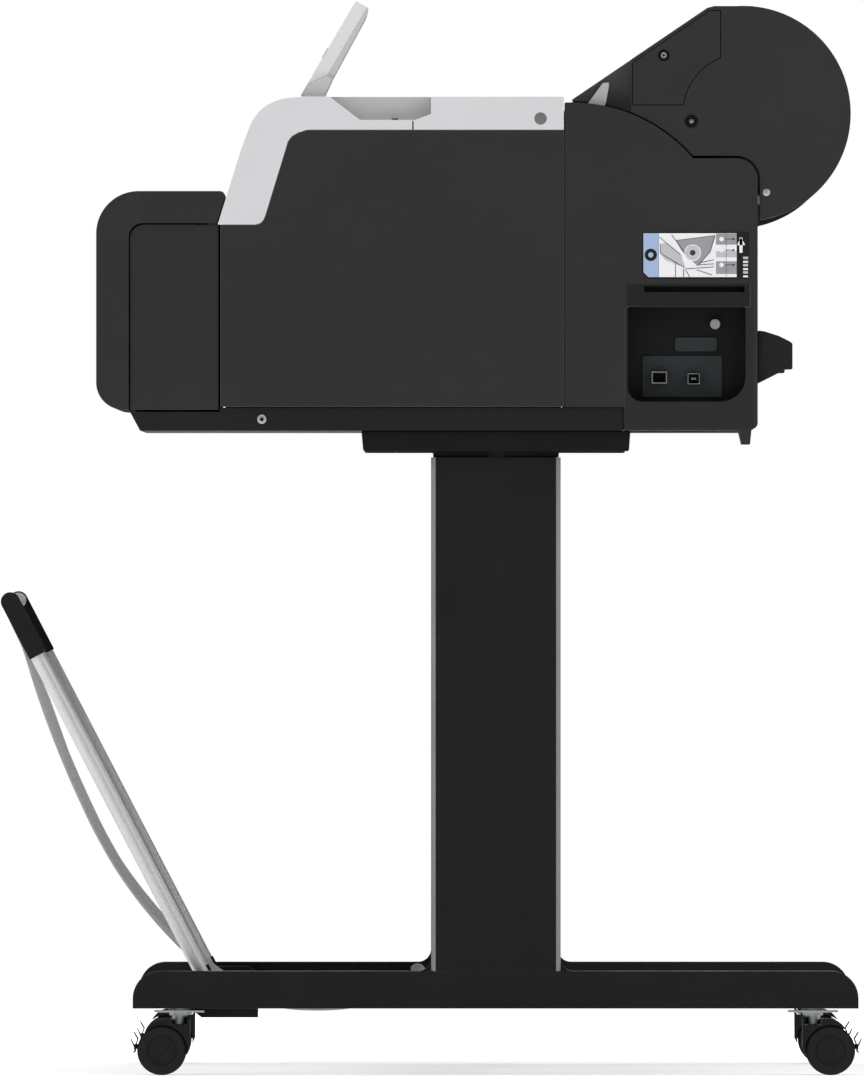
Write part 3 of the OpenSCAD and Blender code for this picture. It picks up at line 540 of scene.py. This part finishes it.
def bracket_face(c, n):
    """The inset plate under each bracket is painted black as painted shade, as it sits in deep
    shade.
    """
    return int(c.z < 0.6181 and abs(c.x) < XO - 0.0265 + 0.0005 and n.z > -0.9)


def io_face(c, n):
    """0 the socket plate, 1 the round knob."""
    return int(c.y > 0.2755 and c.z > 0.7385)


def socket_face(c, n):
    """The inside of a data socket is painted black as painted shade, its tongue is pale."""
    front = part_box("data_sockets")[1].x
    tongue = abs(c.z - 0.6898) < 0.0014 and abs(c.y - 0.2597) < 0.0027 and c.x > front - 0.0095
    return 0 if c.x > front - 0.0004 else 2 if tongue else 1


# The GLINT and GLINT2 edges are painted highlights; BLACK on the cheek panels' edges draws their
# seams.
for node, mat, width, edge in (
    ("base_pan", BASE, 0.0012, None), ("side_panel_r", DARK, 0.0005, GLINT),
    ("side_panel_l", DARK, 0.0005, GLINT), ("rear_cover_r", REAR, 0.0007, GLINT),
    ("rear_cover_l", DARK, 0.0007, GLINT), ("front_housing_r", DARK, 0.0005, GLINT),
    ("front_housing_l", DARK, 0.0005, GLINT), ("front_panel", DARK2, 0.0006, None),
    ("upper_trim_r", TRIM, 0.0008, GLINT2), ("upper_trim_l", LIGHT, 0.0008, GLINT2),
    ("rear_panel", DARK, 0.0007, None), ("roll_cheek_r", CHEEK, 0.001, GLINT),
    ("roll_cheek_l", CHEEK, 0.001, GLINT), ("cheek_panels", DARK2, 0.0007, BLACK),
    ("ink_cover_r", INK, 0.001, None), ("ink_cover_l", INK, 0.001, None),
    ("roll_cover", DARK2, 0.0007, None), ("top_cover", LIGHT, 0.0007, None),
    ("control_panel", PANEL, 0.0012, None), ("release_lever", LIGHT2, 0.001, None),
    ("rear_grips", BASE, 0.0015, None), ("foot_r", STAND, 0.0009, GLINT),
    ("foot_l", STAND, 0.0009, GLINT), ("cross_beam", STAND, 0.001, None),
    ("ac_inlet", BLACK, 0.0006, None), ("carriage", BLACK, 0.0008, None),
    ("platen", BLACK, 0.0006, None), ("roll_holder", BLACK, 0.0008, None),
    ("ink_tanks", TANK, 0.001, None), ("power_key", BLACK, 0.0005, None),
):
    soften(node, mat, width, edge=edge)
soften("io_board", [IO, KNOB], 0.0003, pick=io_face)
soften("data_sockets", [STEEL, BLACK, PALE], 0.0001, pick=socket_face)
for side in "rl":
    soften("column_" + side, [STAND, EDGE], 0.0004, pick=column_face)
soften("top_brackets", [SHADE, BLACK], 0.0012, pick=bracket_face)
soften("basket_arms", [ALLOY, CAP, ALLOY], 0.0008, pick=arm_face)

for node, mat in (
    ("side_frames", STEEL), ("carriage_rail", STEEL), ("drive_belt", BELT),
    ("caster_stems", NUT), ("panel_screen", SCREEN),
    ("paper_roll", PAPER), ("feed_roller", STEEL), ("pinch_roller", BELT),
):
    paint(node, mat)
for c in ("fr", "fl", "rr", "rl"):
    soften("fork_" + c, STAND, 0.0006)
    soften("wheels_" + c, TYRE, 0.0009)
    paint("brake_" + c, BASE)

# ---------------------------------------------------------------- basket cloth

ROD_UP = 0.4325                            # from the arms' pivot line up to the front rod
SLEEVE = 0.0072                            # radius of the cloth round each rod
PATH = [(-0.4230, 0.4605), (-0.4125, 0.4385), (-0.4045, 0.4210), (-0.3950, 0.3915),
        (-0.3812, 0.3520), (-0.3658, 0.3120), (-0.3490, 0.2727), (-0.3297, 0.2330),
        (-0.3059, 0.1935), (-0.2755, 0.1540), (-0.2425, 0.1190), (-0.2180, 0.0975),
        (-0.1880, 0.0790), (-0.1520, 0.0670), (-0.1160, 0.0642), (-0.0800, 0.0665),
        (-0.0480, 0.0740), (-0.0270, 0.0840)]


def spline(points, step):
    """Evenly spaced points on a smooth curve through the given ones."""
    pts = [Vector((0, *p)) for p in points]
    pts = [pts[0] * 2 - pts[1]] + pts + [pts[-1] * 2 - pts[-2]]
    fine = []
    for i in range(1, len(pts) - 2):
        a, b, c, d = pts[i - 1:i + 3]
        for k in range(16):
            t = k / 16
            fine.append(0.5 * ((2 * b) + (c - a) * t + (2 * a - 5 * b + 4 * c - d) * t * t
                               + (3 * b - a - 3 * c + d) * t ** 3))
    fine.append(pts[-2])
    return even(fine, step)


def even(fine, step):
    run = [0.0]
    for a, b in zip(fine, fine[1:]):
        run.append(run[-1] + (b - a).length)
    n = max(2, round(run[-1] / step))
    out, j = [], 0
    for i in range(n + 1):
        s = run[-1] * i / n
        while j < len(run) - 2 and run[j + 1] < s:
            j += 1
        t = (s - run[j]) / max(1e-9, run[j + 1] - run[j])
        out.append(fine[j].lerp(fine[j + 1], t))
    return out


def arc(center, r, a0, a1, n=28):
    return [Vector((0, center[0] + r * math.cos(math.radians(a0 + (a1 - a0) * i / n)),
                    center[1] + r * math.sin(math.radians(a0 + (a1 - a0) * i / n))))
            for i in range(n + 1)]


def basket():
    """One sheet: a sleeve round the front rod, a long sag down and back, and a sleeve round
    the rod between the feet."""
    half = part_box("basket_sling")[1].x
    rod = ARM + UP * ROD_UP
    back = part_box("cross_beam")
    rear = Vector((0, back[0].y + 0.006, back[0].z + 0.006))
    main = spline(PATH, 0.004)
    front = arc((rod.y, rod.z), SLEEVE, -40, 180 + 14)
    tail_r = arc((rear.y, rear.z), SLEEVE, -112, 152)
    line = front + main[1:-1] + tail_r
    path = even(line, 0.0035)
    total = sum((b - a).length for a, b in zip(path, path[1:]))
    xs = [-half + 2 * half * i / 150 for i in range(151)]
    hem = 0.014
    bm = bmesh.new()
    uv = bm.loops.layers.uv.new("map")
    lay = {}
    n = len(path)
    for side in (0, 1):
        for i, p in enumerate(path):
            q, r = path[max(0, i - 1)], path[min(n - 1, i + 1)]
            d = (r - q).normalized()
            nrm = Vector((0, -d.z, d.y))
            s = i / (n - 1)
            free = min(1, max(0, (s - 0.09) / 0.1)) * min(1, max(0, (0.93 - s) / 0.1))
            for j, x in enumerate(xs):
                u = x / half
                edge = half - abs(x)
                w = (math.sin(x * 9.1 + s * 7) * 0.0011 + math.sin(x * 23 - s * 19) * 0.0006
                     + math.sin(x * 4.3 + 1.3) * math.sin(s * 11) * 0.0018)
                w += 0.0030 * (1 - u * u) * math.sin(math.pi * s) - 0.0012 * u ** 8
                t = 0.0005 if edge > hem else 0.0009
                off = free * w * (1 - 0.75 * max(0, 1 - edge / 0.05)) + (t if side else -t)
                lay[side, i, j] = bm.verts.new((x, p.y + nrm.y * off, p.z + nrm.z * off))
    m = len(xs)

    def quad(keys):
        f = bm.faces.new([lay[k] for k in keys])
        for lp_, k in zip(f.loops, keys):
            lp_[uv].uv = (xs[k[2]], k[1] / (n - 1) * total)

    for i in range(n - 1):
        for j in range(m - 1):
            quad([(0, i, j), (0, i, j + 1), (0, i + 1, j + 1), (0, i + 1, j)])
            quad([(1, i, j), (1, i + 1, j), (1, i + 1, j + 1), (1, i, j + 1)])
        for j in (0, m - 1):
            k = [(0, i, j), (0, i + 1, j), (1, i + 1, j), (1, i, j)]
            quad(k if j == 0 else k[::-1])
    for j in range(m - 1):
        for i in (0, n - 1):
            k = [(0, i, j), (1, i, j), (1, i, j + 1), (0, i, j + 1)]
            quad(k if i == 0 else k[::-1])
    o = finish_mesh("basket_sheet", bm, CLOTH, smooth=50)
    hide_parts("basket_sling", "basket_floor")
    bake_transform(o)


basket()

# ---------------------------------------------------------------- screws, label, screen


def turned(bm, y, z, rings, mat_of, side=1, n=40):
    """A turned shape about a line along X.

    rings are (x, radius), mat_of gives each strip's material.
    """
    made = []
    for x, r in rings:
        if r == 0:
            made.append([bm.verts.new((side * x, y, z))])
            continue
        made.append([bm.verts.new((side * x, y + r * math.cos(2 * math.pi * i / n),
                                   z + r * math.sin(2 * math.pi * i / n))) for i in range(n)])
    for k, (a, b) in enumerate(zip(made, made[1:])):
        for i in range(n):
            j = (i + 1) % n
            pts = ([a[i], a[j], b[0]] if len(b) == 1 else [a[0], b[j], b[i]] if len(a) == 1
                   else [a[i], a[j], b[j], b[i]])
            f = bm.faces.new(pts if side > 0 else pts[::-1])
            f.material_index = mat_of[k]


def fasteners():
    """Screws with sockets in recesses, hinge pins and the round caps; their black sockets, wells
    and rings are painted shade.
    """
    bm = bmesh.new()
    cheek = XO - 0.003
    mm = 0.001
    for side in (1, -1):
        # base screw; its black socket is painted shade
        turned(bm, -0.168, 0.6496, [(XO - 7 * mm, 0), (XO - 7 * mm, 2.1 * mm),
               (XO - 2.95 * mm, 2.1 * mm),
               (XO - 2.95 * mm, 4.5 * mm), (XO - 1.7 * mm, 4.5 * mm), (XO - 1.3 * mm, 3.9 * mm),
               (XO - 1.2 * mm, 1.9 * mm), (XO - 2.2 * mm, 1.6 * mm), (XO - 2.2 * mm, 0)],
               [0, 0, 0, 0, 0, 0, 1, 1], side)
        # countersunk cheek screw in its well, whose black ring is painted shade
        turned(bm, 0.230, 1.010, [(cheek - 1.35 * mm, 0), (cheek - 1.35 * mm, 4.6 * mm),
               (cheek - 0.75 * mm, 4.6 * mm), (cheek - 0.7 * mm, 2.9 * mm),
               (cheek - 0.3 * mm, 2.5 * mm),
               (cheek - 0.3 * mm, 1.3 * mm), (cheek - 1.0 * mm, 1.2 * mm), (cheek - 1.0 * mm, 0)],
               [0, 0, 1, 0, 0, 1, 1], side)
        # deep cheek screw; its black well is painted shade
        turned(bm, 0.2574, 0.9448, [(cheek - 3.95 * mm, 0), (cheek - 3.95 * mm, 5.6 * mm),
               (cheek - 2.4 * mm, 5.6 * mm), (cheek - 3.6 * mm, 4.4 * mm),
               (cheek - 3.6 * mm, 2.2 * mm),
               (cheek - 2.6 * mm, 2.0 * mm), (cheek - 2.4 * mm, 1.2 * mm), (cheek - 2.4 * mm, 0)],
               [1, 1, 1, 1, 1, 2, 2], side)
        # hinge pin of the roll cover; the black step round it is painted shade
        turned(bm, 0.3316, 0.8743, [(cheek - 45 * mm, 0), (cheek - 45 * mm, 4.48 * mm),
               (cheek - 1.2 * mm, 4.48 * mm), (cheek - 1.1 * mm, 3.7 * mm),
               (cheek - 0.6 * mm, 3.6 * mm),
               (cheek - 0.4 * mm, 3.1 * mm), (cheek - 0.4 * mm, 0)],
               [0, 0, 1, 0, 0, 0], side)
        # round cap in the light trim
        turned(bm, 0.108, 0.9474, [(XO - 0.33 * mm, 0), (XO - 0.33 * mm, 6 * mm),
               (XO - 0.15 * mm, 6 * mm),
               (XO, 5.7 * mm), (XO, 0)], [3, 3, 3, 3], side)
    o = finish_mesh("screw_set", bm, [PINS, BLACK, STEEL, CAPTONE], "machine", 30)
    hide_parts("screws")


fasteners()


def plate(bm, pts, x, mat_index, back=0.00012):
    """A thin closed plate with its face at x; pts are (Y, Z) in metres, either way round."""
    a = sum(p[0] * q[1] - q[0] * p[1] for p, q in zip(pts, pts[1:] + pts[:1]))
    if a < 0:
        pts = pts[::-1]
    f = [bm.verts.new((x, y, z)) for y, z in pts]
    b = [bm.verts.new((x - back, y, z)) for y, z in pts]
    faces = [bm.faces.new(f), bm.faces.new(b[::-1])]
    for i in range(len(pts)):
        k = (i + 1) % len(pts)
        faces.append(bm.faces.new([f[k], f[i], b[i], b[k]]))
    for g in faces:
        g.material_index = mat_index


def rect(y0, z0, y1, z1):
    return [(y0, z0), (y1, z0), (y1, z1), (y0, z1)]


def disc(y, z, r, n=32):
    return [(y + r * math.cos(2 * math.pi * i / n), z + r * math.sin(2 * math.pi * i / n))
            for i in range(n)]


def stroke(y0, z0, y1, z1, w=0.0006):
    d = Vector((y1 - y0, z1 - z0)).normalized() * w / 2
    return [(y0 - d.y, z0 + d.x), (y1 - d.y, z1 + d.x), (y1 + d.y, z1 - d.x), (y0 + d.y, z0 - d.x)]


def flat_ink(name, tone):
    m = Mat(name, 0.45, 0.0, 0.3)
    base = [lin(t) for t in tone]
    m.color(m.ramp(m.noise(40, 3), [(0.3, tuple(c * 0.97 for c in base) + (1,)),
                                    (0.7, tuple(c * 1.02 for c in base) + (1,))]))
    return m.m


def label():
    """A wordless pictogram label: a blue field, a drawing of a roll and sheet, a dark band."""
    lo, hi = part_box("label_plate")
    x = hi.x
    inks = [flat_ink("label_black", (14, 15, 18)), flat_ink("label_blue", (160, 178, 212)),
            flat_ink("label_white", (234, 234, 236)), flat_ink("label_grey", (150, 150, 154)),
            flat_ink("label_line", (52, 52, 56)), flat_ink("label_pale", (188, 188, 192))]
    bm = bmesh.new()
    y0, y1, z0, z1 = lo.y, hi.y, lo.z, hi.z
    base, mid, top, ink = x - 0.0004, x - 0.00026, x - 0.00013, x
    plate(bm, [(y0 + 0.0055, z0), (y1, z0), (y1, z1), (y0, z1), (y0, z0 + 0.0055)], base, 0)
    plate(bm, [(y0 + 0.0062, z0 + 0.0014), (y0 + 0.0162, z0 + 0.0014), (y0 + 0.0162, z1 - 0.0012),
               (y0 + 0.0012, z1 - 0.0012), (y0 + 0.0012, z0 + 0.0062)], mid, 1)
    plate(bm, rect(y0 + 0.0165, z0 + 0.0014, y0 + 0.0935, z1 - 0.0012), mid, 2)
    plate(bm, disc(y0 + 0.0085, z0 + 0.0234, 0.0061), top, 0)
    plate(bm, disc(y0 + 0.0085, z0 + 0.0234, 0.0026), ink, 1)
    w = y0 + 0.0165
    # a roll with its sheet drawn off over a tray
    plate(bm, [(w + 0.017, z0 + 0.037), (w + 0.056, z0 + 0.042), (w + 0.051, z0 + 0.026),
               (w + 0.038, z0 + 0.0125), (w + 0.030, z0 + 0.020), (w + 0.022, z0 + 0.028)], top, 3)
    plate(bm, [(w + 0.0015, z0 + 0.034), (w + 0.0065, z0 + 0.035), (w + 0.022, z0 + 0.024),
               (w + 0.026, z0 + 0.0105), (w + 0.006, z0 + 0.0185), (w + 0.0015, z0 + 0.025)],
          top, 5)
    plate(bm, disc(w + 0.0335, z0 + 0.0255, 0.0082), ink, 2)
    plate(bm, disc(w + 0.0335, z0 + 0.0255, 0.0074), ink + 0.00001, 5)
    plate(bm, disc(w + 0.0335, z0 + 0.0255, 0.0028), ink + 0.00002, 4)
    for a in ((0.0165, 0.0015, 0.0165, 0.016), (0.0245, 0.0015, 0.0245, 0.010),
              (0.0265, 0.0095, 0.0545, 0.0115), (0.0375, 0.0085, 0.0525, 0.0035),
              (0.040, 0.0155, 0.0545, 0.0185), (0.040, 0.0135, 0.0545, 0.0145),
              (0.0005, 0.041, 0.021, 0.024), (0.0125, 0.0435, 0.030, 0.0195),
              (0.0265, 0.0085, 0.0305, 0.0015), (0.0165, 0.0375, 0.0555, 0.0425),
              (0.0015, 0.0345, 0.0015, 0.025), (0.0015, 0.025, 0.0260, 0.0105),
              (0.0555, 0.0425, 0.0505, 0.026), (0.0505, 0.026, 0.0385, 0.0125)):
        plate(bm, stroke(w + a[0], z0 + a[1], w + a[2], z0 + a[3]), ink, 4)
    v = w + 0.0565
    for z, h, t in ((0.0335, 0.011, 3), (0.0045, 0.0125, 3), (0.021, 0.006, 5)):
        plate(bm, rect(v, z0 + z, v + 0.0205, z0 + z + h), top, t)
    for z in (0.039, 0.028, 0.0135):
        plate(bm, disc(v + 0.0055, z0 + z, 0.0022, 20), ink, 2)
        plate(bm, stroke(v + 0.0095, z0 + z, v + 0.0185, z0 + z), ink, 4)
        plate(bm, [(v + 0.0165, z0 + z + 0.0014), (v + 0.0190, z0 + z),
                   (v + 0.0165, z0 + z - 0.0014)], ink, 4)
    plate(bm, stroke(v + 0.0102, z0 + 0.0015, v + 0.0102, z1 - 0.0015, 0.0003), ink, 4)
    # white arrow and scale marks on the band
    k = y1 - 0.0065
    plate(bm, rect(k - 0.0026, z0 + 0.0255, k + 0.0004, z0 + 0.0405), top, 2)
    plate(bm, [(k - 0.0050, z0 + 0.0330), (k - 0.0011, z0 + 0.0410), (k + 0.0030, z0 + 0.0330)],
          top, 2)
    for i in range(6):
        plate(bm, rect(y1 - 0.0055, z0 + 0.0012 + i * 0.0036, y1 - 0.0006,
                       z0 + 0.0030 + i * 0.0036 + (0.0006 if i % 2 else 0)), top, 2 + (i % 2) * 3)
    o = finish_mesh("label_print", bm, inks, "machine", 20)
    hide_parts("label_plate")


label()
